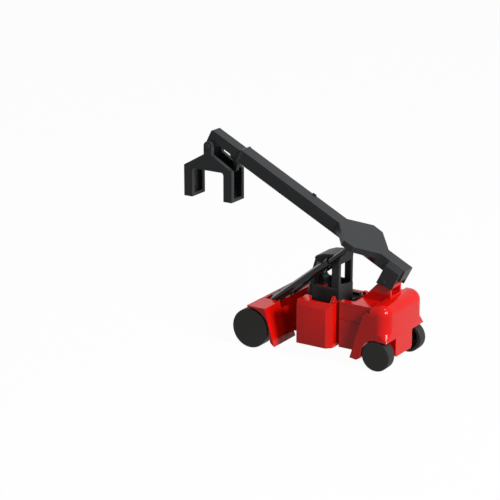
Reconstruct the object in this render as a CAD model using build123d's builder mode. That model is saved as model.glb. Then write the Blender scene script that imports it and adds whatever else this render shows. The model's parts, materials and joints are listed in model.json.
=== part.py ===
from build123d import *
from math import cos, radians, sin
import os

# Reach stacker, scale model at 1:87. Millimetres, +X forward, +Y left, +Z up.
# The origin is on the ground, below the middle of the model's bounding box.

# Wheels and axles
front_axle_x = 10.72
wheelbase = 57.5
front_wheel_radius = 8.4
front_wheel_width = 6.0
front_wheel_outer_y = 19.4
rear_wheel_radius = 6.3
rear_wheel_width = 4.8
rear_wheel_outer_y = 15.9
wheel_face_wall = 1.2
wheel_rim_wall = 1.4
wheel_edge_round = 0.4
hub_radius = 2.4
stub_radius = 1.2
running_clearance = 0.05
side_clearance = 0.3
front_arch_clearance = 0.6
rear_arch_clearance = 0.4
axle_beam_depth = 3.0
axle_beam_height = 3.2
knuckle_height = 7.0
knuckle_thickness = 0.8
rear_axle_x = -wheelbase

# Front section: cross wall and mudguards
mudguard_inner_y = 7.8
mudguard_outer_y = 19.6
mudguard_top_z = 18.4
mudguard_front_x = 1.3
mudguard_rear_top_x = -7.4
mudguard_rear_low_x = -12.1
mudguard_low_z = 2.5
mudguard_toe_length = 1.9
mudguard_toe_height = 1.5
mudguard_inner_wall = 2.1
arch_lip_width = 0.7
arch_lip_depth = 0.5
axle_cover = 1.2
apron_thickness = 1.3
apron_top_z = 15.0
cross_wall_thickness = 1.3
cross_wall_low_z = 11.0

# Frame and deck
frame_half_width = 2.6
frame_low_z = 4.6
frame_rise = 2.0
hump_front_x = -19.6
hump_rear_x = -24.4
hump_z = 26.2
deck_z = 19.5
deck_thickness = 0.8
deck_front_x = -18.6
deck_half_width = 10.6
deck_right_y = 12.6
deck_rear_x = -35.1
deck_clearance = 0.1
deck_corner_round = 4.0
step_length = 4.6
step_height = 1.5
step_depth = 2.0

# Side boxes
side_box_front_x = -22.0
side_box_rear_x = -37.9
side_box_outer_y = 18.4
side_box_low_z = 6.2
side_box_corner = (2.2, 2.0)
left_box_top_z = 24.9
left_box_shelf = 2.6
left_box_rim_y = 15.4
left_box_rear_wall = 0.9
left_box_chamfer_height = 2.4
left_box_chamfer_front = 0.6
left_box_chamfer_rear = 2.4
right_box_top_z = 20.1
gusset_outer_y = 13.2
gusset_peak = (8.3, 25.5)
gusset_inner = (7.0, 23.0)
gusset_thickness = 1.5
cap_length = 1.8
cap_height = 1.8
cap_clearance = 0.4

# Rear body with its engine bay
body_gap = 1.4
body_half_width = 13.8
body_low_z = 6.3
body_top_z = 25.9
body_rear_x = rear_axle_x + 3.0
bay_floor_z = 14.0
low_rim_length = 9.0
seam_z = 18.2
seam_width = 0.4
seam_depth = 0.3

# Counterweight
weight_rear_x = rear_axle_x - 5.1
weight_half_width = 16.1
weight_top_z = 27.6
weight_low_z = 12.7
weight_flare_z = 16.4
weight_corner_round = 5.0
weight_top_round = 4.6
weight_sharp = 0.4
weight_shoulder_length = 1.7
weight_shoulder_height = 3.5
cheek_gap = 0.1
rear_block_half_width = 7.0
rear_block_rear_x = rear_axle_x - 4.6
rear_block_low_z = 4.2
rear_block_round = 0.8

# Boom; u runs along it from its pivot, n square to it, upwards
boom_angle = 26.9
pivot_x = rear_axle_x + 2.3
pivot_z = 34.4
pivot_pin_radius = 0.9
tongue_radius = 1.5
boom_rear_u = -4.9
boom_front_u = 82.5
boom_top_n = 8.6
boom_low_n = 2.9
boom_rear_half_width = 3.2
boom_front_half_width = 3.25
tube_wall = 0.45
tube_top_wall = 0.8
tube_clearance = 0.1
tube_rear_u = 24.0
inner_rear_u = 28.0
nose_u = 98.9
nose_chamfer = 0.6
foot_half_width = 5.7
foot_gap = 0.3
foot_rear_u = -4.2
foot_front_u = 2.9
foot_rear_low_n = -0.9
foot_front_low_n = -2.1
foot_block_low_n = 2.9
foot_top_n = 7.0
wing_edge_n = 5.9
wing_root_half_width = 3.35
wing_low_n = 3.2

# Tower that carries the boom
tower_half_width = 4.6
tower_front_x = pivot_x + 10.3
tower_shoulder_x = pivot_x + 3.4
tower_shoulder_z = pivot_z - 1.2
tower_rear_x = pivot_x - 2.6
tower_rear_z = pivot_z - 1.4
tower_wall = 1.15
tower_window_low_z = weight_top_z + 0.8
tower_window_top_z = pivot_z - 3.0
tower_ceiling_x = pivot_x + 3.2

# Cab
cab_rear_x = -34.5
cab_front_low_x = -19.6
cab_front_top_x = -23.3
cab_half_width = 5.8
cab_low_z = deck_z + deck_thickness
cab_bend_z = 27.0
cab_left_sill_z = 27.8
cab_right_sill_z = 29.1
cab_rear_sill_z = 28.6
cab_rear_window_half = 4.1
cab_roof_z = 39.4
cab_roof_front_z = 40.4
cab_roof_crown_x = -26.8
cab_roof_crown_z = 41.7
cab_roof_rear_z = 42.3
cab_roof_overhang = 0.3
cab_roof_chamfer = 0.6
cab_wall = 0.9
cab_front_wall = 1.3
cab_rear_post = 3.4
cab_front_post = 1.1
cab_window_top_gap = 1.3
cab_corner_round = 2.4
console_z = 30.6
console_rear_x = -24.2
console_near_y = -0.4
seat_top_z = 27.7
seat_half_width = 2.2

# Head frame that hangs from the boom's nose
head_u = 96.5
head_n = 1.2
head_pin_radius = 0.8
head_eye_radius = 2.1
head_plate_inner_y = 2.95
head_plate_thickness = 1.9
head_leg_width = 4.2
head_half_length = 12.05
head_drop = 23.1
head_shoulder_drop = 9.5
head_arch_drop = 10.6
head_arch_round = 1.2
head_neck_drop = 3.7
head_neck_half_width = 2.0
head_web = 0.9
head_web_inset = 1.5
head_foot_thickness = 1.5
head_hole_radius = 0.75
head_hole_height = 2.9
stop_arm_half_width = 1.2
stop_arm_thickness = 1.8
stop_arm_root_u = 86.0
stop_arm_bend = (83.2, 0.5)
stop_arm_tip = (82.6, -2.2)
stop_arm_tip_radius = 1.05

# Lift cylinders
lift_foot_x = -1.9
lift_foot_y = 5.7
lift_foot_z = 16.1
lift_head_u = 18.4
lift_head_n = 5.6
lift_head_y = 9.7
lift_pin_radius = 0.8
barrel_radius = 1.7
barrel_length = 38.2
rod_radius = 1.0
rod_eye_radius = 1.4
rod_eye_thickness = 1.6
rod_neck = 0.8
rod_hidden_length = 17.0
rod_bore_length = 21.5
lift_slot_length = 5.0
lift_slot_width = 3.3
lift_slot_wall = 0.7

# Travel of the joints from the resting pose: degrees, and millimetres for the slide
lift_low = -10.0
lift_high = 25.0
extend_travel = 40.0
head_swing_back = 5.0
head_swing_out = 30.0

# Derived places
cut_reach = 60.0
body_front_x = side_box_rear_x - body_gap
sides = (("left", 1), ("right", -1))
ca, sa = cos(radians(boom_angle)), sin(radians(boom_angle))


def across(y=0.0):
    """Plane of a side profile: local x forward from the front axle, local y up."""
    return Plane(origin=(front_axle_x, y, 0), x_dir=(1, 0, 0), z_dir=(0, -1, 0))


def boom_plane(y=0.0):
    """Plane of a boom profile: local x along the boom, local y square to it."""
    return Plane(origin=(front_axle_x + pivot_x, y, pivot_z), x_dir=(ca, 0, sa), z_dir=(0, -1, 0))


def boom_point(u, n, y=0.0):
    return Vector(front_axle_x + pivot_x + u * ca - n * sa, y, pivot_z + u * sa + n * ca)


def save(builder, name):
    builder.part.label = name
    export_step(builder.part, f"parts/{name}.step")


os.makedirs("parts", exist_ok=True)

# Wheels: cup-shaped discs, closed outside, with a hub for the stub axle
wheel_sets = (
    # name, x, radius, width, outer y
    ("front", 0.0, front_wheel_radius, front_wheel_width, front_wheel_outer_y),
    ("rear", rear_axle_x, rear_wheel_radius, rear_wheel_width, rear_wheel_outer_y),
)
stub_hole_radius = stub_radius + running_clearance
for axle, wheel_x, radius, width, outer_y in wheel_sets:
    for side, sign in sides:
        wheel_plane = Plane(
            origin=(front_axle_x + wheel_x, sign * outer_y, radius),
            x_dir=(1, 0, 0),
            z_dir=(0, -sign, 0),
        )
        with BuildPart() as wheel:
            with BuildSketch(wheel_plane):
                Circle(radius)
            extrude(amount=width)
            fillet(wheel.edges().filter_by(GeomType.CIRCLE), wheel_edge_round)
            with BuildSketch(wheel_plane.offset(wheel_face_wall)):
                Circle(radius - wheel_rim_wall)
                Circle(hub_radius, mode=Mode.SUBTRACT)
            extrude(amount=width - wheel_face_wall, mode=Mode.SUBTRACT)
            with BuildSketch(wheel_plane.offset(wheel_face_wall)):
                Circle(stub_hole_radius)
            extrude(amount=width - wheel_face_wall, mode=Mode.SUBTRACT)
        save(wheel, f"{axle}_wheel_{side}")

# Axles: a beam with a knuckle plate and a stub at each end
for axle, wheel_x, radius, width, outer_y in wheel_sets:
    beam_half_length = outer_y - width - side_clearance
    stub_half_length = outer_y - wheel_face_wall - side_clearance
    with BuildPart() as axle_part:
        with Locations((front_axle_x + wheel_x, 0, radius)):
            Box(axle_beam_depth, 2 * beam_half_length, axle_beam_height)
            Cylinder(stub_radius, 2 * stub_half_length, rotation=(90, 0, 0))
        if axle == "rear":
            for sign in (1, -1):
                knuckle_y = sign * (beam_half_length - knuckle_thickness / 2)
                with Locations((front_axle_x + wheel_x, knuckle_y, radius)):
                    Box(axle_beam_depth, knuckle_thickness, knuckle_height)
    save(axle_part, f"{axle}_axle")


def cut_axles(plane_x, radius):
    """Square passage for an axle beam, face to face with it."""
    with Locations((front_axle_x + plane_x, 0, radius)):
        Box(axle_beam_depth, cut_reach, axle_beam_height, mode=Mode.SUBTRACT)


# Frame: a narrow spine that rises through the cab's floor and drops to the deck
with BuildPart() as frame:
    with BuildSketch(across()):
        Polygon(
            (0, frame_low_z),
            (0, mudguard_top_z),
            (mudguard_rear_top_x, mudguard_top_z),
            (hump_front_x, hump_z),
            (hump_rear_x, hump_z),
            (hump_rear_x, deck_z),
            (deck_rear_x, deck_z),
            (deck_rear_x, bay_floor_z),
            (side_box_rear_x, bay_floor_z),
            (side_box_rear_x, frame_low_z + frame_rise),
            (side_box_front_x, frame_low_z),
            align=None,
        )
    extrude(amount=frame_half_width, both=True)
    cut_axles(0, front_wheel_radius)
    with Locations((front_axle_x + lift_foot_x, 0, lift_foot_z)):
        Cylinder(lift_pin_radius, cut_reach, rotation=(90, 0, 0), mode=Mode.SUBTRACT)
save(frame, "main_frame")

# Cross wall between the mudguards
with BuildPart() as cross_wall:
    with BuildSketch(across()):
        Polygon(
            (0, cross_wall_low_z),
            (cross_wall_thickness, cross_wall_low_z),
            (cross_wall_thickness, mudguard_top_z),
            (0, mudguard_top_z),
            align=None,
        )
    extrude(amount=mudguard_inner_y, both=True)
save(cross_wall, "front_cross_wall")

# Mudguards: a wedge over each front wheel, an inner wall down to the axle and a slanted
# apron that carries the wedge's rear face on to the frame
arch_radius = front_wheel_radius + front_arch_clearance
rear_slope = (mudguard_rear_top_x - mudguard_rear_low_x) / (mudguard_top_z - mudguard_low_z)
apron_top_x = mudguard_rear_top_x - (mudguard_top_z - apron_top_z) * rear_slope
for side, sign in sides:
    with BuildPart() as mudguard:
        with BuildSketch(across(sign * mudguard_inner_y)):
            Polygon(
                (mudguard_front_x, mudguard_top_z),
                (mudguard_rear_top_x, mudguard_top_z),
                (mudguard_rear_low_x, mudguard_low_z),
                (mudguard_rear_low_x + mudguard_toe_length, mudguard_low_z + mudguard_toe_height),
                (-arch_radius, front_wheel_radius),
                (0, front_wheel_radius),
                (0, 2 * front_wheel_radius),
                (mudguard_front_x, 2 * front_wheel_radius),
                align=None,
            )
            with Locations((0, front_wheel_radius)):
                Circle(arch_radius, mode=Mode.SUBTRACT)
        extrude(amount=-sign * (mudguard_outer_y - mudguard_inner_y))
        with BuildSketch(across(sign * mudguard_outer_y)):
            with Locations((0, front_wheel_radius)):
                Circle(arch_radius + arch_lip_width)
        extrude(amount=sign * arch_lip_depth, mode=Mode.SUBTRACT)
        wall_low_z = front_wheel_radius - axle_beam_height / 2 - axle_cover
        with BuildSketch(across(sign * mudguard_inner_y)):
            with Locations((0, front_wheel_radius)):
                Circle(arch_radius)
            Polygon(
                (-arch_radius - 1, front_wheel_radius),
                (-axle_beam_depth / 2, wall_low_z),
                (cross_wall_thickness, wall_low_z),
                (cross_wall_thickness, mudguard_top_z),
                (-arch_radius - 1, mudguard_top_z),
                align=None,
                mode=Mode.INTERSECT,
            )
        extrude(amount=-sign * mudguard_inner_wall)
        with BuildSketch(across(sign * frame_half_width)):
            Polygon(
                (apron_top_x, apron_top_z),
                (apron_top_x + apron_thickness, apron_top_z),
                (mudguard_rear_low_x + apron_thickness, mudguard_low_z),
                (mudguard_rear_low_x, mudguard_low_z),
                align=None,
            )
        extrude(amount=-sign * (mudguard_inner_y + arch_lip_width - frame_half_width))
        cut_axles(0, front_wheel_radius)
    save(mudguard, f"mudguard_{side}")


def box_plan(x_front, x_rear, y_inner, y_outer, z):
    """Rectangle in plan at one height, from its four sides."""
    with BuildSketch(Plane.XY.offset(z), mode=Mode.PRIVATE) as plan:
        with Locations((front_axle_x + (x_front + x_rear) / 2, (y_inner + y_outer) / 2)):
            Rectangle(x_front - x_rear, abs(y_outer - y_inner))
    return plan.sketch


def left_well(z, gap):
    """Plan of the deck's bay in the left side box, with its front outer corner rounded."""
    front = side_box_front_x - left_box_shelf - gap
    rear = side_box_rear_x + left_box_rear_wall + gap
    with BuildSketch(Plane.XY.offset(z), mode=Mode.PRIVATE) as plan:
        add(box_plan(front, rear, 0, left_box_rim_y - gap, z))
        fillet(plan.vertices().group_by(Axis.Y)[-1].sort_by(Axis.X)[-1], deck_corner_round)
    return plan.sketch


def rim_bevel(x, width):
    """Section that is cut off the left box's upper edge at one end of it."""
    low_z = left_box_top_z - left_box_chamfer_height
    with BuildSketch(Plane.YZ.offset(front_axle_x + x), mode=Mode.PRIVATE) as section:
        Polygon(
            (side_box_outer_y, low_z),
            (side_box_outer_y + 1, low_z),
            (side_box_outer_y + 1, left_box_top_z + 1),
            (side_box_outer_y - width, left_box_top_z + 1),
            (side_box_outer_y - width, left_box_top_z),
            align=None,
        )
    return section.sketch


# Side boxes: the left one stands up to the cab's sill, the right one ends below the deck
corner_length, corner_width = side_box_corner
for side, sign in sides:
    box_top_z = left_box_top_z if side == "left" else right_box_top_z
    with BuildPart() as side_box:
        box_base = box_plan(
            side_box_front_x, side_box_rear_x, sign * frame_half_width, sign * side_box_outer_y, side_box_low_z
        )
        extrude(box_base, amount=box_top_z - side_box_low_z)
        with BuildSketch(Plane.XY):
            Polygon(
                (front_axle_x + side_box_rear_x + corner_length, sign * side_box_outer_y),
                (front_axle_x + side_box_rear_x, sign * (side_box_outer_y - corner_width)),
                (front_axle_x + side_box_rear_x, sign * side_box_outer_y),
                align=None,
            )
        extrude(amount=cut_reach, mode=Mode.SUBTRACT)
        well_y = deck_half_width if side == "left" else -deck_right_y - deck_clearance
        deck_cut = box_plan(side_box_front_x, side_box_rear_x, 0, well_y, deck_z)
        extrude(deck_cut, amount=cut_reach, mode=Mode.SUBTRACT)
        bay_cut = box_plan(deck_rear_x, side_box_rear_x, 0, sign * deck_half_width, bay_floor_z)
        extrude(bay_cut, amount=cut_reach, mode=Mode.SUBTRACT)
        if side == "left":
            extrude(left_well(deck_z, 0), amount=cut_reach, mode=Mode.SUBTRACT)
            bevel_ends = (
                rim_bevel(side_box_front_x, left_box_chamfer_front),
                rim_bevel(side_box_rear_x, left_box_chamfer_rear),
            )
            loft(bevel_ends, ruled=True, mode=Mode.SUBTRACT)
            with BuildSketch(Plane.YZ.offset(front_axle_x + cab_rear_x)):
                Polygon(
                    (gusset_outer_y, deck_z),
                    gusset_peak,
                    gusset_inner,
                    (gusset_inner[0], deck_z),
                    align=None,
                )
            extrude(amount=gusset_thickness)
        else:
            cap_x = front_axle_x + side_box_rear_x + cap_length
            cap_y = sign * (deck_right_y + cap_clearance + cap_length / 2)
            with Locations((cap_x, cap_y, box_top_z + cap_height / 2)):
                Box(cap_length, cap_length, cap_height)
    save(side_box, f"side_box_{side}")

rear_arch_radius = rear_wheel_radius + rear_arch_clearance


def cut_rear_arches():
    """Wheel arches on both sides of the rear block."""
    arch_length = cut_reach / 2
    arch_y = rear_block_half_width + arch_length / 2
    with Locations(*[(front_axle_x + rear_axle_x, sign * arch_y, rear_wheel_radius) for sign in (1, -1)]):
        Cylinder(rear_arch_radius, arch_length, rotation=(90, 0, 0), mode=Mode.SUBTRACT)


# Rear body with the engine bay in front of the tower and a lower right rim
with BuildPart() as body:
    body_plan = box_plan(body_front_x, body_rear_x, -body_half_width, body_half_width, body_low_z)
    extrude(body_plan, amount=body_top_z - body_low_z)
    core_plan = box_plan(side_box_rear_x, body_front_x, -deck_half_width, deck_half_width, body_low_z)
    extrude(core_plan, amount=bay_floor_z - body_low_z)
    bay_plan = box_plan(body_front_x, tower_front_x, -deck_half_width, deck_half_width, bay_floor_z)
    extrude(bay_plan, amount=cut_reach, mode=Mode.SUBTRACT)
    low_rim_plan = box_plan(
        body_front_x, body_front_x - low_rim_length, -body_half_width, -deck_half_width, right_box_top_z
    )
    extrude(low_rim_plan, amount=cut_reach, mode=Mode.SUBTRACT)
    seam_half = body_half_width - seam_depth
    for sign in (1, -1):
        seam_plan = box_plan(body_front_x, body_rear_x, sign * seam_half, sign * (body_half_width + 1), seam_z)
        extrude(seam_plan, amount=seam_width, mode=Mode.SUBTRACT)
    cut_rear_arches()
save(body, "rear_body")

# Counterweight: rounded block that flares to sharp lower corners, with wheel cheeks
weight_length = body_rear_x - weight_rear_x
weight_x = front_axle_x + (body_rear_x + weight_rear_x) / 2


def weight_outline(z, corner):
    """Plan of the counterweight at one height, with both rear corners rounded."""
    with BuildSketch(Plane.XY.offset(z), mode=Mode.PRIVATE) as outline:
        with Locations((weight_x, 0)):
            Rectangle(weight_length, 2 * weight_half_width)
        fillet(outline.vertices().group_by(Axis.X)[0], corner)
    return outline.sketch


cheek_inner_y = body_half_width + cheek_gap
with BuildPart() as weight:
    flare = (weight_outline(weight_low_z, weight_sharp), weight_outline(weight_flare_z, weight_corner_round))
    loft(flare, ruled=True)
    extrude(weight_outline(weight_flare_z, weight_corner_round), amount=weight_top_z - weight_flare_z)
    rims = weight.faces().sort_by(Axis.Z)[-1].edges()
    fillet(rims.filter_by(lambda e: e.center().X < front_axle_x + body_rear_x - 0.01), weight_top_round)
    for sign in (1, -1):
        with BuildSketch(across(sign * cheek_inner_y)):
            Polygon(
                (body_rear_x, rear_wheel_radius),
                (body_rear_x, weight_top_z - weight_shoulder_height),
                (body_rear_x + 1.3, weight_top_z - weight_shoulder_height),
                (body_rear_x + 2.8, weight_top_z - weight_shoulder_height - 1.2),
                (body_rear_x + 8.75, rear_wheel_radius - 2.5),
                (body_rear_x + 5.7, rear_wheel_radius - 2.95),
                (body_rear_x + 4.0, rear_wheel_radius - 2.0),
                (body_rear_x + 3.4, rear_wheel_radius),
                align=None,
            )
        extrude(amount=-sign * (weight_half_width - cheek_inner_y))
        with BuildSketch(across(sign * (tower_half_width + cheek_gap))):
            Polygon(
                (body_rear_x, weight_top_z - weight_shoulder_height / 2),
                (body_rear_x - weight_shoulder_length, weight_top_z),
                (body_rear_x, weight_top_z),
                align=None,
            )
        extrude(amount=-sign * weight_half_width, mode=Mode.SUBTRACT)
    cut_rear_arches()
save(weight, "counterweight")

# Rear block between the rear wheels
with BuildPart() as rear_block:
    block_plan = box_plan(
        body_rear_x, rear_block_rear_x, -rear_block_half_width, rear_block_half_width, rear_block_low_z
    )
    extrude(block_plan, amount=weight_low_z - rear_block_low_z)
    low_edges = rear_block.faces().sort_by(Axis.Z)[0].edges().filter_by(Axis.X)
    chamfer(low_edges, rear_block_round)
    cut_axles(rear_axle_x, rear_wheel_radius)
save(rear_block, "rear_block")

# Tower: hollow red box with an open window at the back
with BuildPart() as tower:
    with BuildSketch(across()):
        Polygon(
            (tower_front_x, body_top_z),
            (body_rear_x, body_top_z),
            (body_rear_x, weight_top_z),
            (tower_rear_x, weight_top_z),
            (tower_rear_x, tower_rear_z),
            (pivot_x, pivot_z),
            (tower_shoulder_x, tower_shoulder_z),
            align=None,
        )
        with Locations((pivot_x, pivot_z)):
            Circle(tongue_radius)
    extrude(amount=tower_half_width, both=True)
    with BuildSketch(across()):
        Polygon(
            (tower_front_x - 2 * tower_wall, body_top_z + tower_wall),
            (body_rear_x + 1, body_top_z + tower_wall),
            (body_rear_x + 1, tower_window_low_z),
            (tower_rear_x - 1, tower_window_low_z),
            (tower_rear_x - 1, tower_window_top_z),
            (tower_ceiling_x, tower_window_top_z),
            align=None,
        )
    extrude(amount=tower_half_width - tower_wall, both=True, mode=Mode.SUBTRACT)
    with Locations((front_axle_x + pivot_x, 0, pivot_z)):
        Cylinder(pivot_pin_radius, cut_reach, rotation=(90, 0, 0), mode=Mode.SUBTRACT)
save(tower, "boom_tower")

# Deck plate: it fills the left box's bay and has a low step on the right
with BuildPart() as deck:
    extrude(box_plan(deck_front_x, deck_rear_x, -deck_right_y, deck_half_width - deck_clearance, deck_z), amount=deck_thickness)
    extrude(left_well(deck_z, deck_clearance), amount=deck_thickness)
    spine_cut = box_plan(deck_front_x, hump_rear_x, -frame_half_width, frame_half_width, deck_z)
    extrude(spine_cut, amount=deck_thickness, mode=Mode.SUBTRACT)
    gusset_front_x = cab_rear_x + gusset_thickness + deck_clearance
    gusset_cut = box_plan(gusset_front_x, cab_rear_x - deck_clearance, gusset_inner[0], gusset_outer_y, deck_z)
    extrude(gusset_cut, amount=deck_thickness, mode=Mode.SUBTRACT)
    step_plan = box_plan(deck_rear_x + step_length, deck_rear_x, -deck_right_y, step_depth - deck_right_y, deck_z)
    extrude(step_plan, amount=deck_thickness + step_height)
save(deck, "deck_plate")

# Cab: hollow shell with a closed windscreen, two side windows and a rear window
cab_side = (
    (cab_rear_x, cab_low_z),
    (cab_rear_x, cab_roof_z),
    (cab_front_top_x, cab_roof_z),
    (cab_front_low_x, cab_bend_z),
    (cab_front_low_x, cab_low_z),
)
front_slope = (cab_front_low_x - cab_front_top_x) / (cab_roof_z - cab_bend_z)


def cab_front_x(z):
    """The sloping windscreen's outer face at one height."""
    return cab_front_low_x - (z - cab_bend_z) * front_slope


with BuildPart() as cab:
    with BuildSketch(across()):
        Polygon(*cab_side, align=None)
    extrude(amount=cab_half_width, both=True)
    front_corners = cab.edges().filter_by(lambda e: abs(e.center().X - front_axle_x - cab_front_low_x) < 0.1)
    fillet(front_corners.filter_by(Axis.Z), cab_corner_round)
    with BuildSketch(across()):
        Polygon(
            (cab_rear_x + cab_wall, cab_low_z + cab_wall),
            (cab_rear_x + cab_wall, cab_roof_z),
            (cab_front_top_x - cab_wall, cab_roof_z),
            (cab_front_low_x - cab_front_wall, cab_bend_z),
            (cab_front_low_x - cab_front_wall, cab_low_z + cab_wall),
            align=None,
        )
    extrude(amount=cab_half_width - cab_wall, both=True, mode=Mode.SUBTRACT)
    window_top_z = cab_roof_z - cab_window_top_gap
    for sign, sill_z in ((1, cab_left_sill_z), (-1, cab_right_sill_z)):
        with BuildSketch(across(sign * cab_half_width)):
            Polygon(
                (cab_rear_x + cab_rear_post, sill_z),
                (cab_rear_x + cab_rear_post, window_top_z),
                (cab_front_x(window_top_z) - cab_front_post, window_top_z),
                (cab_front_x(sill_z) - cab_front_post, sill_z),
                align=None,
            )
        extrude(amount=sign * cab_wall, mode=Mode.SUBTRACT)
    with Locations((front_axle_x + cab_rear_x + cab_wall / 2, 0, (cab_rear_sill_z + window_top_z) / 2)):
        Box(cab_wall, 2 * cab_rear_window_half, window_top_z - cab_rear_sill_z, mode=Mode.SUBTRACT)
    spine_pass = box_plan(0, hump_rear_x, -frame_half_width, frame_half_width, cab_low_z)
    extrude(spine_pass, amount=hump_z - cab_low_z, mode=Mode.SUBTRACT)
save(cab, "cab_shell")

with BuildPart() as roof:
    roof_rear_x = cab_rear_x - cab_roof_overhang
    with BuildSketch(across()):
        Polygon(
            (roof_rear_x, cab_roof_z),
            (roof_rear_x, cab_roof_rear_z),
            (cab_roof_crown_x + (cab_rear_x - cab_roof_crown_x) * 2 / 3, cab_roof_rear_z),
            (cab_roof_crown_x, cab_roof_crown_z),
            (cab_front_top_x, cab_roof_front_z),
            (cab_front_top_x + cab_roof_overhang, cab_roof_z),
            align=None,
        )
    roof_half_width = cab_half_width + cab_roof_overhang
    extrude(amount=roof_half_width, both=True)
    roof_edges = roof.edges().filter_by(lambda e: abs(abs(e.center().Y) - roof_half_width) < 0.01)
    chamfer(roof_edges.filter_by(lambda e: e.center().Z > cab_roof_front_z), cab_roof_chamfer)
save(roof, "cab_roof")

with BuildPart() as seat:
    with BuildSketch(across()):
        Polygon(
            (-32.4, cab_low_z + cab_wall),
            (-33.0, seat_top_z),
            (-31.4, seat_top_z),
            (-30.8, 25.4),
            (-27.2, 25.4),
            (-27.2, 24.0),
            (-28.4, cab_low_z + cab_wall),
            align=None,
        )
    extrude(amount=seat_half_width, both=True)
save(seat, "cab_seat")

# Console on the right of the cab, from its floor and over the frame's hump
console_front_x = cab_front_low_x - cab_front_wall
with BuildPart() as console:
    for low_z, near_y in ((cab_low_z + cab_wall, -frame_half_width), (hump_z, console_near_y)):
        with BuildSketch(across(near_y)):
            Polygon(
                (console_front_x, low_z),
                (console_front_x, cab_bend_z),
                (cab_front_x(console_z) - cab_front_wall - 0.3, console_z - 0.6),
                (cab_front_x(console_z) - cab_front_wall - 0.9, console_z),
                (console_rear_x, console_z - 1.6),
                (console_rear_x, low_z),
                align=None,
            )
        extrude(amount=near_y + cab_half_width - cab_wall)
save(console, "cab_console")


# Outer boom with its foot, wings and lift slots
def boom_section(u, half_width):
    """Cross-section of the boom at one place along it."""
    section = Plane(origin=boom_point(u, 0), x_dir=(0, 1, 0), z_dir=(ca, 0, sa))
    with BuildSketch(section, mode=Mode.PRIVATE) as sketch:
        Polygon(
            (-half_width, boom_low_n),
            (half_width, boom_low_n),
            (half_width, boom_top_n),
            (-half_width, boom_top_n),
            align=None,
        )
    return sketch.sketch


wing_outline = (
    # u, y
    (7.6, 3.3),
    (16.2, 12.2),
    (21.1, 12.4),
    (29.6, 3.2),
)


def wing_plan(n, widest):
    """Plan of the wings at one height, no wider than given."""
    plan = Plane(origin=boom_point(0, n), x_dir=(ca, 0, sa), z_dir=(-sa, 0, ca))
    half = [(u, min(y, widest)) for u, y in wing_outline]
    with BuildSketch(plan, mode=Mode.PRIVATE) as sketch:
        Polygon(*half, *[(u, -y) for u, y in reversed(half)], align=None)
    return sketch.sketch


inner_top_n = boom_top_n - tube_top_wall - tube_clearance
inner_low_n = boom_low_n + tube_wall + tube_clearance
inner_half_width = boom_front_half_width - tube_wall - tube_clearance

with BuildPart() as outer_boom:
    boom_ends = (
        boom_section(boom_rear_u, boom_rear_half_width),
        boom_section(boom_front_u, boom_front_half_width),
    )
    loft(boom_ends, ruled=True)
    wing_slab = wing_plan(wing_edge_n, cut_reach)
    extrude(wing_slab, amount=boom_top_n - wing_edge_n)
    loft([wing_plan(wing_low_n, wing_root_half_width), wing_slab], ruled=True)
    with BuildSketch(boom_plane()):
        Polygon(
            (foot_front_u, foot_top_n),
            (foot_front_u, foot_block_low_n),
            (foot_rear_u, foot_block_low_n),
            (foot_rear_u, foot_top_n),
            align=None,
        )
    extrude(amount=foot_half_width, both=True)
    foot_inner_y = tower_half_width + foot_gap
    for sign in (1, -1):
        with BuildSketch(boom_plane(sign * foot_inner_y)):
            Polygon(
                (foot_front_u, foot_block_low_n),
                (foot_front_u, foot_front_low_n),
                (foot_rear_u, foot_rear_low_n),
                (foot_rear_u, foot_block_low_n),
                align=None,
            )
        extrude(amount=-sign * (foot_half_width - foot_inner_y))
    # lift eyes seat in slots under the wings
    slot_top_n = boom_top_n - lift_slot_wall
    slot_low_n = boom_low_n - lift_slot_length
    for sign in (1, -1):
        with BuildSketch(boom_plane(sign * (lift_head_y - lift_slot_width / 2))):
            with Locations((lift_head_u + 0.2, (slot_top_n + slot_low_n) / 2)):
                Rectangle(lift_slot_length, slot_top_n - slot_low_n)
        extrude(amount=-sign * lift_slot_width, mode=Mode.SUBTRACT)
    bore_depth = inner_top_n - inner_low_n + 2 * tube_clearance
    bore_length = boom_front_u - tube_rear_u + 1
    with BuildSketch(boom_plane()):
        with Locations((tube_rear_u + bore_length / 2, (inner_top_n + inner_low_n) / 2)):
            Rectangle(bore_length, bore_depth)
    extrude(amount=inner_half_width + tube_clearance, both=True, mode=Mode.SUBTRACT)
    with Locations(boom_point(0, 0)):
        Cylinder(pivot_pin_radius + running_clearance, cut_reach, rotation=(90, 0, 0), mode=Mode.SUBTRACT)
save(outer_boom, "outer_boom")

with BuildPart() as pivot_pin:
    with Locations(boom_point(0, 0)):
        Cylinder(pivot_pin_radius, 2 * foot_half_width + 2 * side_clearance, rotation=(90, 0, 0))
save(pivot_pin, "boom_pivot_pin")

# Inner boom with the nose eye and the stop arm
with BuildPart() as inner_boom:
    with BuildSketch(boom_plane()):
        Polygon(
            (inner_rear_u, inner_low_n),
            (inner_rear_u, inner_top_n),
            (nose_u - nose_chamfer, inner_top_n),
            (nose_u, inner_top_n - nose_chamfer),
            (nose_u, head_n),
            (head_u - head_eye_radius, head_n),
            (head_u - head_eye_radius - 1.5, inner_low_n),
            align=None,
        )
        with Locations((head_u, head_n)):
            Circle(head_eye_radius)
    extrude(amount=inner_half_width, both=True)
    with Locations(boom_point(head_u, head_n)):
        Cylinder(head_pin_radius, cut_reach, rotation=(90, 0, 0), mode=Mode.SUBTRACT)
save(inner_boom, "inner_boom")

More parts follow.
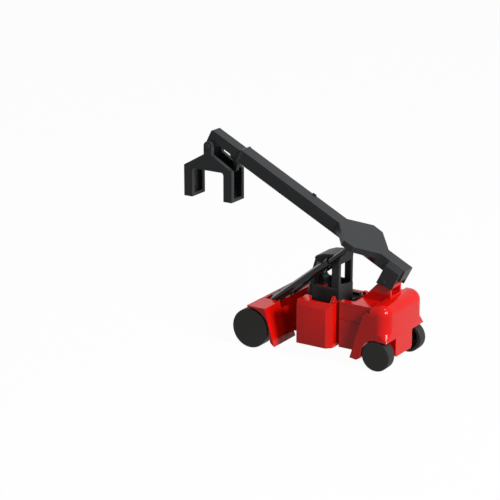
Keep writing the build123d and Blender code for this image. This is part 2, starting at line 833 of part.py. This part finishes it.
with BuildPart() as stop_arm:
    with BuildSketch(boom_plane()):
        with BuildLine():
            arm_path = ThreePointArc((stop_arm_root_u, inner_low_n - 1.0), stop_arm_bend, stop_arm_tip)
        SlotArc(arm_path, stop_arm_thickness)
        with Locations(stop_arm_tip):
            Circle(stop_arm_tip_radius)
        with Locations((stop_arm_root_u, inner_low_n - 0.6)):
            Rectangle(2 * stop_arm_half_width, 1.2)
    extrude(amount=stop_arm_half_width, both=True)
save(stop_arm, "head_stop_arm")

# Head frame: two side plates joined by a web round the arch, closed at the feet
head_point = boom_point(head_u, head_n)
head_x = head_point.X
head_z = head_point.Z
arch_half = head_half_length - head_leg_width
arch_floor = head_drop - head_foot_thickness


def head_plane(y=0.0):
    return Plane(origin=(head_x, y, head_z), x_dir=(1, 0, 0), z_dir=(0, -1, 0))


with BuildPart() as head:
    with BuildSketch(head_plane()):
        Polygon(
            (-head_half_length, -head_drop),
            (-head_half_length, -head_shoulder_drop),
            (-head_neck_half_width, -head_neck_drop),
            (-head_neck_half_width, 0),
            (head_neck_half_width, 0),
            (head_neck_half_width, -head_neck_drop),
            (head_half_length, -head_shoulder_drop),
            (head_half_length, -head_drop),
            align=None,
        )
        Circle(head_neck_half_width)
        with Locations((0, -head_drop)):
            RectangleRounded(
                2 * arch_half, 2 * (head_drop - head_arch_drop), head_arch_round, mode=Mode.SUBTRACT
            )
    extrude(amount=head_plate_inner_y + head_plate_thickness, both=True)
    # the channel between the plates stops at the web and the feet
    with BuildSketch(head_plane()):
        with Locations((0, -arch_floor / 2 + head_neck_half_width)):
            Rectangle(2 * head_half_length + 2, arch_floor + 2 * head_neck_half_width)
        Polygon(
            (-arch_half - head_web, -arch_floor),
            (-arch_half - head_web, -head_arch_drop + head_web),
            (arch_half + head_web, -head_arch_drop + head_web),
            (arch_half + head_web, -head_arch_drop),
            (arch_half + head_web_inset + head_web, -head_arch_drop),
            (arch_half + head_web_inset + head_web, -arch_floor),
            align=None,
            mode=Mode.SUBTRACT,
        )
        with Locations((arch_half + head_web_inset / 2, -(head_arch_drop + head_web + arch_floor) / 2)):
            Rectangle(head_web_inset, arch_floor - head_arch_drop - head_web)
    extrude(amount=head_plate_inner_y, both=True, mode=Mode.SUBTRACT)
    with Locations((head_x, 0, head_z - head_drop + head_hole_height)):
        Cylinder(head_hole_radius, cut_reach, rotation=(0, 90, 0), mode=Mode.SUBTRACT)
    with Locations(head_point):
        Cylinder(head_pin_radius + running_clearance, cut_reach, rotation=(90, 0, 0), mode=Mode.SUBTRACT)
save(head, "head_frame")

with BuildPart() as head_pin:
    pin_length = 2 * (head_plate_inner_y + head_plate_thickness + side_clearance)
    with Locations(head_point):
        Cylinder(head_pin_radius, pin_length, rotation=(90, 0, 0))
save(head_pin, "head_pin")

# Lift cylinders, splayed outwards towards the wings
with BuildPart() as foot_pin:
    with Locations((front_axle_x + lift_foot_x, 0, lift_foot_z)):
        Cylinder(lift_pin_radius, 2 * mudguard_inner_y, rotation=(90, 0, 0))
save(foot_pin, "lift_foot_pin")

for side, sign in sides:
    foot = Vector(front_axle_x + lift_foot_x, sign * lift_foot_y, lift_foot_z)
    top = boom_point(lift_head_u, lift_head_n, sign * lift_head_y)
    stroke_axis = (top - foot).normalized()
    lift_length = (top - foot).length
    lift_plane = Plane(origin=foot, x_dir=(0, 1, 0), z_dir=stroke_axis)
    with BuildPart() as barrel:
        with BuildSketch(lift_plane):
            Circle(barrel_radius)
        extrude(amount=barrel_length)
        with Locations(foot):
            Sphere(barrel_radius)
            Cylinder(lift_pin_radius + running_clearance, 4 * barrel_radius, rotation=(90, 0, 0), mode=Mode.SUBTRACT)
        with BuildSketch(lift_plane.offset(barrel_length)):
            Circle(rod_radius + running_clearance)
        extrude(amount=-rod_bore_length, mode=Mode.SUBTRACT)
    save(barrel, f"lift_barrel_{side}")
    with BuildPart() as rod:
        with BuildSketch(lift_plane.offset(barrel_length - rod_hidden_length)):
            Circle(rod_radius)
        extrude(amount=lift_length - barrel_length + rod_hidden_length - rod_neck)
        with Locations(top):
            Cylinder(rod_eye_radius, rod_eye_thickness, rotation=(90, 0, 0))
    save(rod, f"lift_rod_{side}")
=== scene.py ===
import json
import math

import bmesh
import bpy
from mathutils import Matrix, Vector


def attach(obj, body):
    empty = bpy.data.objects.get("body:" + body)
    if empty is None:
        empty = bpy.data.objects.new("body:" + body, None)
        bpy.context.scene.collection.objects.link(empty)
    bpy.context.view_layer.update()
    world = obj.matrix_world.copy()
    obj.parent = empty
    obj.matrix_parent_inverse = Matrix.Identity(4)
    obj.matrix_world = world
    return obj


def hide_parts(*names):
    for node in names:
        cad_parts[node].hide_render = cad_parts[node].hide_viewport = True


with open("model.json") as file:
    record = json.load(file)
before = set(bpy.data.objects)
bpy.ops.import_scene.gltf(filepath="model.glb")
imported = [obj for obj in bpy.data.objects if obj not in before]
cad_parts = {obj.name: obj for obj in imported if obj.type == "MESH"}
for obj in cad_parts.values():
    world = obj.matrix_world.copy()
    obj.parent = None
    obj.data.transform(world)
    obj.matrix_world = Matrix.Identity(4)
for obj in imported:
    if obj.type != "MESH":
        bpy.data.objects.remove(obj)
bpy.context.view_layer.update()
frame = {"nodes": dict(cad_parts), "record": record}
nodes = frame["nodes"]
behaviour = frame["record"]["behaviour"]
joints = {joint["name"]: joint for joint in behaviour["joints"]}
bodyOf = {name: body for body, names in behaviour["bodies"].items() for name in names}
perMetre = 1000  # millimetres in a metre
scene = bpy.context.scene
scene.view_settings.view_transform = "Standard"
print("stage: frame loaded,", len(nodes), "nodes")

# camera: stands behind the left rear wheel, a long lens from the far side of the bench
cameraSet = {
    "place": (-0.3779, 0.6278, 0.2684),
    "look": (0.5136, -0.8044, -0.2986),
    "lens": 132.8,
    "clip": (0.01, 20),
}


def addCamera(s):
    data = bpy.data.cameras.new("benchCamera")
    data.lens = s["lens"]
    data.clip_start, data.clip_end = s["clip"]
    cam = bpy.data.objects.new("benchCamera", data)
    scene.collection.objects.link(cam)
    cam.location = s["place"]
    cam.rotation_mode = "QUATERNION"
    cam.rotation_quaternion = Vector(s["look"]).to_track_quat("-Z", "Y")
    scene.camera = cam


addCamera(cameraSet)


# node helpers
def newNode(tree, kind, **sockets):
    node = tree.nodes.new(kind)
    for name, value in sockets.items():
        node.inputs[name.replace("_", " ")].default_value = value
    return node


def newGroup(name, inputs, outputs):
    group = bpy.data.node_groups.new(name, "ShaderNodeTree")
    for label, kind, value in inputs:
        socket = group.interface.new_socket(name=label, in_out="INPUT", socket_type=kind)
        socket.default_value = value
    for label, kind in outputs:
        group.interface.new_socket(name=label, in_out="OUTPUT", socket_type=kind)
    return group, group.nodes.new("NodeGroupInput"), group.nodes.new("NodeGroupOutput")


def mathNode(tree, operation, a, b=None):
    node = tree.nodes.new("ShaderNodeMath")
    node.operation = operation
    for slot, value in enumerate((a, b)):
        if isinstance(value, bpy.types.NodeSocket):
            tree.links.new(value, node.inputs[slot])
        elif value is not None:
            node.inputs[slot].default_value = value
    return node.outputs[0]


mixSocket = {"factor": 0, "a": 6, "b": 7, "result": 2}  # where a Mix node keeps its colour sockets


def mixColours(tree, factor, a, b):
    node = tree.nodes.new("ShaderNodeMix")
    node.data_type = "RGBA"
    for slot, value in (("factor", factor), ("a", a), ("b", b)):
        socket = node.inputs[mixSocket[slot]]
        if isinstance(value, bpy.types.NodeSocket):
            tree.links.new(value, socket)
        else:
            socket.default_value = value
    return node.outputs[mixSocket["result"]]


# material groups
printGrain = {
    "waverScale": 260.0,
    "waverDetail": 2.0,
    "patchDetail": 4.0,
    "patchRoughness": 0.6,
    "edgeSamples": 4,
}


def makePrintLayers(s):  # stacked print layers with a little waviness, as a height
    group, given, out = newGroup(
        "printLayers",
        (
            ("Direction", "NodeSocketVector", (0, 0, 1)),
            ("Layer Height", "NodeSocketFloat", 0.00035),
            ("Waver", "NodeSocketFloat", 0.00004),
        ),
        (("Height", "NodeSocketFloat"),),
    )
    place = group.nodes.new("ShaderNodeTexCoord")
    along = group.nodes.new("ShaderNodeVectorMath")
    along.operation = "DOT_PRODUCT"
    group.links.new(place.outputs["Object"], along.inputs[0])
    group.links.new(given.outputs["Direction"], along.inputs[1])
    wander = newNode(group, "ShaderNodeTexNoise", Scale=s["waverScale"], Detail=s["waverDetail"])
    group.links.new(place.outputs["Object"], wander.inputs["Vector"])
    drift = mathNode(group, "MULTIPLY", wander.outputs["Fac"], given.outputs["Waver"])
    at = mathNode(group, "ADD", along.outputs["Value"], drift)
    layer = mathNode(group, "DIVIDE", at, given.outputs["Layer Height"])
    wave = mathNode(group, "SINE", mathNode(group, "MULTIPLY", layer, math.tau))
    height = mathNode(group, "ADD", mathNode(group, "MULTIPLY", wave, 0.5), 0.5)
    group.links.new(height, out.inputs["Height"])
    return group


def makeMottle(s):  # soft uneven patches for colour and gloss
    group, given, out = newGroup(
        "mottle",
        (("Patch Scale", "NodeSocketFloat", 60.0),),
        (("Patches", "NodeSocketFloat"),),
    )
    place = group.nodes.new("ShaderNodeTexCoord")
    patch = newNode(group, "ShaderNodeTexNoise", Detail=s["patchDetail"], Roughness=s["patchRoughness"])
    group.links.new(place.outputs["Object"], patch.inputs["Vector"])
    group.links.new(given.outputs["Patch Scale"], patch.inputs["Scale"])
    group.links.new(patch.outputs["Fac"], out.inputs["Patches"])
    return group


def makeEdgeHighlight(s):  # painted highlight: slightly paler ridges where two faces meet, standing in for light caught on the edges
    group, given, out = newGroup(
        "paintedEdgeHighlight",
        (("Width", "NodeSocketFloat", 0.0004), ("Contrast", "NodeSocketFloat", 6.0)),
        (("Edges", "NodeSocketFloat"),),
    )
    flat = group.nodes.new("ShaderNodeNewGeometry")
    rounded = group.nodes.new("ShaderNodeBevel")
    rounded.samples = s["edgeSamples"]
    group.links.new(given.outputs["Width"], rounded.inputs["Radius"])
    compare = group.nodes.new("ShaderNodeVectorMath")
    compare.operation = "DOT_PRODUCT"
    group.links.new(flat.outputs["Normal"], compare.inputs[0])
    group.links.new(rounded.outputs["Normal"], compare.inputs[1])
    away = mathNode(group, "SUBTRACT", 1.0, compare.outputs["Value"])
    edges = mathNode(group, "MULTIPLY", away, given.outputs["Contrast"])
    edges.node.use_clamp = True
    group.links.new(edges, out.inputs["Edges"])
    return group


groups = {
    "printLayers": makePrintLayers(printGrain),
    "mottle": makeMottle(printGrain),
    "paintedEdgeHighlight": makeEdgeHighlight(printGrain),
}


def useGroup(tree, name, **sockets):
    node = tree.nodes.new("ShaderNodeGroup")
    node.node_tree = groups[name]
    for label, value in sockets.items():
        node.inputs[label.replace("_", " ")].default_value = value
    return node


# each finish's edge colour is a painted highlight, mixed in along edges where light would catch them
printFinishes = {
    "glossRedPrint": {
        "colour": (0.76, 0.006, 0.003, 1),
        "deepColour": (0.64, 0.004, 0.002, 1),
        "edgeHighlightColour": (0.9, 0.05, 0.035, 1),
        "roughness": 0.15,
        "roughnessSpread": 0.07,
        "specular": 0.12,
        "coat": 0.12,
        "coatRoughness": 0.07,
        "layerAlong": (0, 1, 0),
        "layerHeight": 0.00042,
        "layerBump": 0.12,
    },
    "satinBlackPrint": {
        "colour": (0.036, 0.038, 0.04, 1),
        "deepColour": (0.024, 0.026, 0.028, 1),
        "edgeHighlightColour": (0.09, 0.092, 0.094, 1),
        "roughness": 0.4,
        "roughnessSpread": 0.12,
        "specular": 0.14,
        "layerAlong": (0.89, 0, 0.45),
        "layerHeight": 0.00048,
        "layerBump": 0.12,
    },
    "glossBlackPrint": {
        "colour": (0.017, 0.017, 0.018, 1),
        "deepColour": (0.011, 0.011, 0.012, 1),
        "edgeHighlightColour": (0.05, 0.05, 0.052, 1),
        "roughness": 0.12,
        "roughnessSpread": 0.04,
        "specular": 0.3,
        "layerAlong": (0, 0, 1),
        "layerHeight": 0.00042,
        "layerBump": 0.03,
    },
    "matteWheelPrint": {
        "colour": (0.022, 0.021, 0.02, 1),
        "deepColour": (0.014, 0.014, 0.013, 1),
        "edgeHighlightColour": (0.05, 0.05, 0.048, 1),
        "roughness": 0.62,
        "roughnessSpread": 0.1,
        "specular": 0.25,
        "layerAlong": (0.3, 0, 1),
        "layerHeight": 0.00042,
        "layerBump": 0.1,
    },
}


# the same for every printed finish
finishDetail = {
    "patchScale": 70.0,
    # width and share of the painted edge highlight
    "highlightWidth": 0.0003,
    "highlightShare": 0.6,
    "bumpDepth": 0.00005,
}


def makePrintFinish(name, s, detail):
    material = bpy.data.materials.new(name)
    material.use_nodes = True
    tree = material.node_tree
    shader = tree.nodes["Principled BSDF"]
    shader.inputs["Specular IOR Level"].default_value = s["specular"]
    if "coat" in s:
        shader.inputs["Coat Weight"].default_value = s["coat"]
        shader.inputs["Coat Roughness"].default_value = s["coatRoughness"]
    layers = useGroup(tree, "printLayers", Direction=s["layerAlong"], Layer_Height=s["layerHeight"])
    patches = useGroup(tree, "mottle", Patch_Scale=detail["patchScale"]).outputs["Patches"]
    edgeGleam = useGroup(tree, "paintedEdgeHighlight", Width=detail["highlightWidth"]).outputs["Edges"]
    tint = mixColours(tree, patches, s["deepColour"], s["colour"])
    share = mathNode(tree, "MULTIPLY", edgeGleam, detail["highlightShare"])
    # painted highlight: edges are mixed towards the paler edge colour
    withEdgeHighlight = mixColours(tree, share, tint, s["edgeHighlightColour"])
    tree.links.new(withEdgeHighlight, shader.inputs["Base Color"])
    offMiddle = mathNode(tree, "SUBTRACT", patches, 0.5)
    spread = mathNode(tree, "MULTIPLY", offMiddle, s["roughnessSpread"])
    tree.links.new(mathNode(tree, "ADD", spread, s["roughness"]), shader.inputs["Roughness"])
    bump = newNode(tree, "ShaderNodeBump", Strength=s["layerBump"], Distance=detail["bumpDepth"])
    tree.links.new(layers.outputs["Height"], bump.inputs["Height"])
    tree.links.new(bump.outputs["Normal"], shader.inputs["Normal"])
    return material


finishes = {name: makePrintFinish(name, s, finishDetail) for name, s in printFinishes.items()}
print("stage: finishes made")


# printed parts: every CAD node's edges are softened a little, and it gets its finish
meshCare = {"weld": 2e-7, "flatten": 0.6}
softEdges = {
    "width": 0.00012,
    "wider": {"counterweight": 0.0002, "side_box_left": 0.0003, "side_box_right": 0.0003},
    "turn": 28,
    "segments": 2,
}


def soften(piece, width):
    bevel = piece.modifiers.new("softEdges", "BEVEL")
    bevel.width = width
    bevel.segments = softEdges["segments"]
    bevel.limit_method = "ANGLE"
    bevel.angle_limit = math.radians(softEdges["turn"])
    bevel.harden_normals = True


def printedPart(nodeName, finish):
    mesh = nodes[nodeName].data.copy()
    bm = bmesh.new()
    bm.from_mesh(mesh)
    bmesh.ops.remove_doubles(bm, verts=bm.verts, dist=meshCare["weld"])
    flat = math.radians(meshCare["flatten"])
    bmesh.ops.dissolve_limit(bm, angle_limit=flat, verts=bm.verts, edges=bm.edges)
    bm.to_mesh(mesh)
    bm.free()
    piece = bpy.data.objects.new("printed_" + nodeName, mesh)
    scene.collection.objects.link(piece)
    if "custom_normal" in mesh.attributes:
        mesh.attributes.remove(mesh.attributes["custom_normal"])
    mesh.shade_smooth()
    mesh.materials.clear()
    mesh.materials.append(finishes[finish])
    soften(piece, softEdges["wider"].get(nodeName, softEdges["width"]))
    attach(piece, bodyOf[nodeName])
    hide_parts(nodeName)


slotOf = {part["node"]: part["material_slot"] for part in frame["record"]["subparts"]}
for nodeName in sorted(nodes):
    finish = "glossRedPrint" if slotOf[nodeName] == "red_print" else "satinBlackPrint"
    if "wheel" in nodeName:
        finish = "matteWheelPrint"
    if "lift_" in nodeName:
        finish = "glossBlackPrint"
    printedPart(nodeName, finish)
print("stage: printed parts softened")


# small printed details, in millimetres from the front axle or from the boom's pivot
frontAxleX = joints["front_wheel_left_spin"]["pos_m"][0]
pivot = Vector(joints["boom_lift"]["pos_m"])
boomAlong = Vector(joints["boom_extend"]["axis"])
boomUp = Vector((-boomAlong.z, 0, boomAlong.x))
boomSide = Vector((0, 1, 0))


def machinePoint(x, y, z):
    return Vector((frontAxleX + x / perMetre, y / perMetre, z / perMetre))


def boomPoint(u, y, n):
    return pivot + (boomAlong * u + boomSide * y + boomUp * n) / perMetre


def loftedPiece(name, rings, s, closed=True):  # skins a row of rings; closed caps both ends
    verts = [tuple(point) for ring in rings for point in ring]
    count = len(rings[0])
    faces = []
    for start in range(0, len(verts) - count, count):
        for i in range(count):
            k = (i + 1) % count
            faces.append((start + i, start + k, start + count + k, start + count + i))
    if closed:
        faces += [tuple(range(count))[::-1], tuple(range(len(verts) - count, len(verts)))]
    mesh = bpy.data.meshes.new(name)
    mesh.from_pydata(verts, [], faces)
    bm = bmesh.new()
    bm.from_mesh(mesh)
    bmesh.ops.recalc_face_normals(bm, faces=bm.faces)
    bm.to_mesh(mesh)
    bm.free()
    mesh.shade_smooth()
    mesh.materials.append(finishes[s["finish"]])
    piece = bpy.data.objects.new(name, mesh)
    scene.collection.objects.link(piece)
    soften(piece, s["edge"] / perMetre)
    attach(piece, s["body"])


# fairings over the boom's foot: each leans from the boom's top edge to the foot's side
footFairing = {
    "finish": "satinBlackPrint",
    "slot": "black_print",
    "body": "outer_boom",
    "edge": 0.12,
    "from": -4.2,
    "to": 2.9,
    "section": ((3.0, 8.5), (3.3, 8.45), (5.72, 6.2), (5.72, 4.0), (3.0, 4.0)),
}


def addFootFairings(s):
    for sign, side in ((1, "left"), (-1, "right")):
        rings = [[boomPoint(u, sign * y, n) for y, n in s["section"]] for u in (s["from"], s["to"])]
        loftedPiece("footFairing_" + side, rings, s)


addFootFairings(footFairing)


# tub round the cab's lower half: bellied, with a rolled lip at the sill
cabTub = {
    "finish": "satinBlackPrint",
    "slot": "black_print",
    "body": "chassis",
    "edge": 0.05,
    "rear": -34.6,
    "rearHalf": 5.85,
    "cornerSteps": 7,
    # height, front x, half width, corner radius
    "levels": (
        (20.4, -19.9, 5.9, 3.0),
        (20.7, -19.2, 6.1, 3.6),
        (22.2, -18.6, 6.35, 4.2),
        (24.6, -18.5, 6.4, 4.4),
        (26.8, -18.8, 6.25, 4.2),
        (27.5, -18.9, 6.3, 4.0),
        (27.9, -19.1, 6.1, 3.8),
        (27.9, -20.3, 5.3, 2.2),
    ),
}


def tubRing(s, z, front, half, radius):
    ring = [machinePoint(s["rear"], s["rearHalf"], z)]
    for sign in (1, -1):
        for step in range(s["cornerSteps"] + 1):
            done = step / s["cornerSteps"]
            turn = math.pi / 2 * (1 - done if sign == 1 else done)
            x = front - radius + radius * math.cos(turn)
            y = sign * (half - radius + radius * math.sin(turn))
            ring.append(machinePoint(x, y, z))
    return ring + [machinePoint(s["rear"], -s["rearHalf"], z)]


def addCabTub(s):
    rings = [tubRing(s, *level) for level in s["levels"]]
    loftedPiece("cabTub", rings, s, closed=False)


addCabTub(cabTub)


# flat-topped ribs on the lift struts: the flat leans outwards a little
strutRib = {
    "finish": "glossBlackPrint",
    "slot": "black_print",
    "edge": 0.06,
    "lean": math.radians(28),
    "spans": (
        # name, start and end along the strut, distance of the flat from its axis, half width
        ("lift_barrel_", 2.6, 38.1, 1.73, 1.0),
        ("lift_rod_", 41.9, 48.2, 1.03, 0.62),
    ),
    "depth": 0.55,
    "taper": 0.8,
}


def addStrutRibs(s):
    for sign, side in ((1, "left"), (-1, "right")):
        foot = Vector(joints[f"lift_barrel_{side}_tilt"]["pos_m"])
        along = Vector(joints[f"lift_rod_{side}_stroke"]["axis"]).normalized()
        up = (Vector((0, 0, 1)) - along * along.z).normalized()
        out = up.cross(along) * sign
        out *= 1 if out.y * sign > 0 else -1
        normal = up * math.cos(s["lean"]) + out * math.sin(s["lean"])
        tangent = out * math.cos(s["lean"]) - up * math.sin(s["lean"])
        for name, start, end, height, half in s["spans"]:
            low, lowHalf = height - s["depth"], half * s["taper"]
            corners = ((-half, height), (half, height), (lowHalf, low), (-lowHalf, low))
            rings = []
            for t in (start, end):
                middle = foot + along * t / perMetre
                rings.append([middle + (tangent * a + normal * b) / perMetre for a, b in corners])
            loftedPiece("strutRib_" + name + side, rings, s | {"body": name + side})


addStrutRibs(strutRib)


# raised lip round the open end of the outer boom
collarLip = {
    "finish": "glossBlackPrint",
    "slot": "black_print",
    "body": "outer_boom",
    "edge": 0.05,
    "halfWidth": 3.25,
    "low": 2.9,
    "top": 8.6,
    # place along the boom, how far it stands out
    "steps": ((81.5, -0.05), (81.75, 0.16), (82.35, 0.18), (82.6, 0.04), (82.6, -0.4)),
}


def addCollarLip(s):
    rings = []
    for u, out in s["steps"]:
        w, low, top = s["halfWidth"] + out, s["low"] - out, s["top"] + out
        corners = ((w, low), (w, top), (-w, top), (-w, low))
        rings.append([boomPoint(u, y, n) for y, n in corners])
    loftedPiece("collarLip", rings, s, closed=False)


addCollarLip(collarLip)


# small hose clip on the right top edge of the boom
hoseClip = {
    "finish": "satinBlackPrint",
    "slot": "black_print",
    "body": "outer_boom",
    "edge": 0.1,
    "section": ((-3.3, 8.3), (-2.5, 8.3), (-2.6, 9.2), (-3.2, 9.2)),
    "ends": (45.9, 47.7),
}
loftedPiece(
    "hoseClip",
    [[boomPoint(u, y, n) for y, n in hoseClip["section"]] for u in hoseClip["ends"]],
    hoseClip,
)


# domed heads on the head frame's pin
pinHead = {
    "finish": "satinBlackPrint",
    "slot": "black_print",
    "body": "inner_boom",
    "edge": 0.03,
    "sides": 20,
    # distance from the middle, radius
    "rims": ((4.86, 1.25), (5.2, 1.2), (5.4, 0.9), (5.48, 0.45)),
}


def addPinHeads(s):
    at = Vector(joints["head_swing"]["pos_m"])
    turns = [math.tau * i / s["sides"] for i in range(s["sides"])]
    for sign, side in ((1, "left"), (-1, "right")):
        rings = []
        for y, radius in s["rims"]:
            middle = at + boomSide * sign * y / perMetre
            spokes = [boomAlong * math.cos(a) + boomUp * math.sin(a) for a in turns]
            rings.append([middle + spoke * radius / perMetre for spoke in spokes])
        loftedPiece("pinHead_" + side, rings, s)


addPinHeads(pinHead)
print("stage: small printed details added")


# studio: white bench and surround, one broad lamp high behind the machine, small ones for gleams
studio = {
    "floorSize": 3.0,
    "floorRoughness": 0.9,
    "floorColour": (0.9, 0.9, 0.9, 1),
    "floorBounce": (0.3, 0.3, 0.3, 1),
    "floorGlow": 0.97,
    "surround": 0.04,
    "aimHeight": 0.03,
    "lamps": (
        {"name": "broadLamp", "toward": (-0.8, 0.17, 0.46), "away": 1.1, "size": 0.42, "power": 11.0},
        {"name": "highLamp", "toward": (-0.5, 0.02, 0.86), "away": 1.1, "size": 0.16, "power": 2.4},
        {"name": "cornerLamp", "toward": (-0.79, 0.24, 0.54), "away": 0.9, "size": 0.022, "power": 0.9},
    ),
}


def seenDirectly(tree):  # 1 where the background itself is looked at, in mirrors and glass too
    path = tree.nodes.new("ShaderNodeLightPath")
    seen = mathNode(tree, "MAXIMUM", path.outputs["Is Camera Ray"], path.outputs["Is Glossy Ray"])
    return mathNode(tree, "MAXIMUM", seen, path.outputs["Is Transmission Ray"])


def addStudio(s):
    mesh = bpy.data.meshes.new("benchTop")
    half = s["floorSize"] / 2
    corners = [(-half, -half, 0), (half, -half, 0), (half, half, 0), (-half, half, 0)]
    mesh.from_pydata(corners, [], [(0, 1, 2, 3)])
    floor = bpy.data.objects.new("benchTop", mesh)
    scene.collection.objects.link(floor)
    paint = bpy.data.materials.new("benchWhite")
    paint.use_nodes = True
    tree = paint.node_tree
    shader = tree.nodes["Principled BSDF"]
    shader.inputs["Roughness"].default_value = s["floorRoughness"]
    shader.inputs["Specular IOR Level"].default_value = 0.0
    seen = seenDirectly(tree)
    tone = mixColours(tree, seen, s["floorBounce"], s["floorColour"])
    tree.links.new(tone, shader.inputs["Base Color"])
    glow = newNode(tree, "ShaderNodeEmission", Color=(1, 1, 1, 1), Strength=1.0)
    mix = tree.nodes.new("ShaderNodeMixShader")
    tree.links.new(mathNode(tree, "MULTIPLY", seen, s["floorGlow"]), mix.inputs[0])
    tree.links.new(shader.outputs[0], mix.inputs[1])
    tree.links.new(glow.outputs[0], mix.inputs[2])
    tree.links.new(mix.outputs[0], tree.nodes["Material Output"].inputs["Surface"])
    mesh.materials.append(paint)

    world = bpy.data.worlds.new("whiteSurround")
    scene.world = world
    world.use_nodes = True
    tree = world.node_tree
    back = tree.nodes["Background"]
    back.inputs["Color"].default_value = (1, 1, 1, 1)
    strength = tree.nodes.new("ShaderNodeMix")
    strength.inputs["A"].default_value = s["surround"]
    strength.inputs["B"].default_value = 1.0
    tree.links.new(seenDirectly(tree), strength.inputs["Factor"])
    tree.links.new(strength.outputs["Result"], back.inputs["Strength"])

    for lamp in s["lamps"]:
        data = bpy.data.lights.new(lamp["name"], "AREA")
        data.shape = "DISK"
        data.size = lamp["size"]
        data.energy = lamp["power"]
        light = bpy.data.objects.new(lamp["name"], data)
        scene.collection.objects.link(light)
        toward = Vector(lamp["toward"]).normalized()
        light.location = toward * lamp["away"] + Vector((0, 0, s["aimHeight"]))
        light.rotation_mode = "QUATERNION"
        light.rotation_quaternion = (-toward).to_track_quat("-Z", "Y")


addStudio(studio)
print("stage: studio lit")
